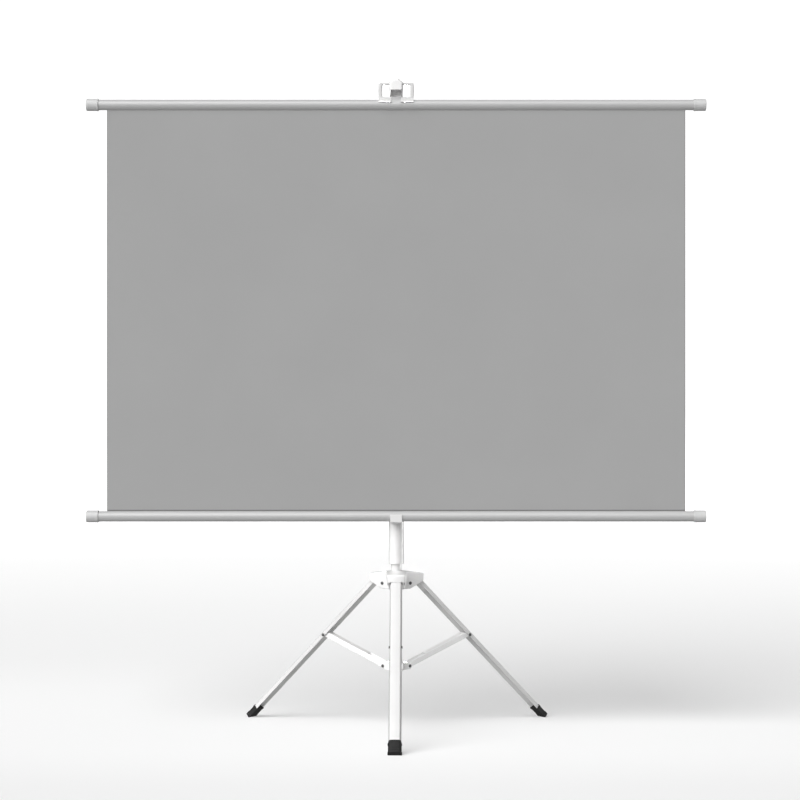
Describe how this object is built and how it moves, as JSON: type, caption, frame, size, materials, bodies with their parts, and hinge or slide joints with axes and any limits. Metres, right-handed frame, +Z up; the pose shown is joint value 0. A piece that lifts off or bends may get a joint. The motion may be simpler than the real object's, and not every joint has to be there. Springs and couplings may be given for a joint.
{
  "type": "tripod projection screen",
  "caption": "Flat grey projection sheet between two capped tubes, hung from a hooked telescopic mast and held in a sleeve hook on a folding tripod with braced channel legs.",
  "frame": {"origin": "bottom centre of the bounding box, on the floor in the middle of the footprint of the feet", "axes": "+Z up along the mast, +X to the viewer's right along the tubes, -Y towards the viewer and the front leg"},
  "size_m": [1.307, 0.5814, 1.3749],
  "materials": {
    "white_metal": "white powder coat",
    "white_plastic": "moulded, satin",
    "grey_tube": "satin silver grey",
    "grey_cap": "moulded, matt",
    "grey_sheet": "matt, fine grain",
    "black_rubber": "matt",
    "black_plastic": "moulded, matt",
    "dark_steel": "blackened",
    "bright_steel": "zinc plated",
    "nylon": "natural"
  },
  "bodies": {
    "base": {"tripod_hub": "white_plastic", "hub_front_pin": "dark_steel", "hub_right_pin": "dark_steel", "hub_left_pin": "dark_steel", "mast_tube_lower": "white_metal", "mast_bush": "nylon", "hook_sleeve": "white_plastic", "mast_clamp": "black_plastic", "lower_hook": "white_metal", "lower_hook_screw_1": "bright_steel", "lower_hook_screw_2": "bright_steel", "screen_sheet": "grey_sheet"},
    "sleeve_knob": {"sleeve_knob": "black_plastic", "sleeve_stud": "bright_steel"},
    "clamp_knob": {"clamp_knob": "black_plastic", "clamp_stud": "bright_steel"},
    "stem": {"stem_tube": "white_metal", "brace_collar": "white_plastic", "stem_end_plug": "black_plastic"},
    "leg_front": {"leg_front_channel": "white_metal", "leg_front_knuckle": "white_plastic", "leg_front_foot": "black_rubber", "leg_front_brace_rivet": "dark_steel"},
    "leg_right": {"leg_right_channel": "white_metal", "leg_right_knuckle": "white_plastic", "leg_right_foot": "black_rubber", "leg_right_brace_rivet": "dark_steel"},
    "leg_left": {"leg_left_channel": "white_metal", "leg_left_knuckle": "white_plastic", "leg_left_foot": "black_rubber", "leg_left_brace_rivet": "dark_steel"},
    "brace_front": {"brace_front": "white_metal", "brace_front_stud_a": "dark_steel", "brace_front_stud_b": "dark_steel"},
    "brace_right": {"brace_right": "white_metal", "brace_right_stud_a": "dark_steel", "brace_right_stud_b": "dark_steel"},
    "brace_left": {"brace_left": "white_metal", "brace_left_stud_a": "dark_steel", "brace_left_stud_b": "dark_steel"},
    "mast_upper": {"mast_tube_upper": "white_metal", "mast_head": "white_plastic", "mast_head_rivet": "bright_steel", "top_tube": "grey_tube", "top_spline": "nylon", "top_cap_left": "grey_cap", "top_cap_right": "grey_cap", "bail": "white_metal", "bail_clip": "grey_tube"},
    "roller": {"bottom_tube": "grey_tube", "bottom_spline": "nylon", "bottom_cap_left": "grey_cap", "bottom_cap_right": "grey_cap"}
  },
  "joints": [
    {"name": "leg_fold", "type": "hinge", "parent": "base", "child": "leg_front", "pos_m": [0, 0.06532, 0.30892], "axis": [1, 0, 0], "range_deg": [0, 46]},
    {"name": "leg_right_fold", "type": "hinge", "parent": "base", "child": "leg_right", "pos_m": [0.02165, 0.10282, 0.30892], "axis": [-0.5, 0.866, 0], "range_deg": [0, 46]},
    {"name": "leg_left_fold", "type": "hinge", "parent": "base", "child": "leg_left", "pos_m": [-0.02165, 0.10282, 0.30892], "axis": [-0.5, -0.866, 0], "range_deg": [0, 46]},
    {"name": "brace_front_fold", "type": "hinge", "parent": "leg_front", "child": "brace_front", "pos_m": [0, -0.08525, 0.19132], "axis": [1, 0, 0], "range_deg": [-108.14, 0]},
    {"name": "brace_right_fold", "type": "hinge", "parent": "leg_right", "child": "brace_right", "pos_m": [0.15205, 0.1781, 0.19132], "axis": [-0.5, 0.866, 0], "range_deg": [-108.14, 0]},
    {"name": "brace_left_fold", "type": "hinge", "parent": "leg_left", "child": "brace_left", "pos_m": [-0.15205, 0.1781, 0.19132], "axis": [-0.5, -0.866, 0], "range_deg": [-108.14, 0]},
    {"name": "stem_slide", "type": "slide", "parent": "base", "child": "stem", "axis": [0, 0, 1], "range_m": [-0.17095, 0]},
    {"name": "mast_slide", "type": "slide", "parent": "base", "child": "mast_upper", "axis": [0, 0, 1], "range_m": [-0.42, 0], "deforming": ["screen_sheet"]},
    {"name": "roller_turn", "type": "hinge", "parent": "base", "child": "roller", "pos_m": [0, 0.06052, 0.45192], "axis": [1, 0, 0], "range_deg": [0, 2161]},
    {"name": "sleeve_knob_turn", "type": "hinge", "parent": "base", "child": "sleeve_knob", "pos_m": [0, 0.11, 0.36992], "axis": [0, 1, 0], "range_deg": [0, 270]},
    {"name": "clamp_knob_turn", "type": "hinge", "parent": "base", "child": "clamp_knob", "pos_m": [0, 0.11, 0.84292], "axis": [0, 1, 0], "range_deg": [0, 270]}
  ],
  "couplings": [
    {"joint": "leg_right_fold", "follows": "leg_fold", "ratio": 1},
    {"joint": "leg_left_fold", "follows": "leg_fold", "ratio": 1},
    {"joint": "brace_front_fold", "follows": "leg_fold", "ratio": -2.3507},
    {"joint": "brace_right_fold", "follows": "leg_fold", "ratio": -2.3507},
    {"joint": "brace_left_fold", "follows": "leg_fold", "ratio": -2.3507},
    {"joint": "stem_slide", "follows": "leg_fold", "m_per_rad": -0.21291},
    {"joint": "roller_turn", "follows": "mast_slide", "rad_per_m": -89.76}
  ]
}
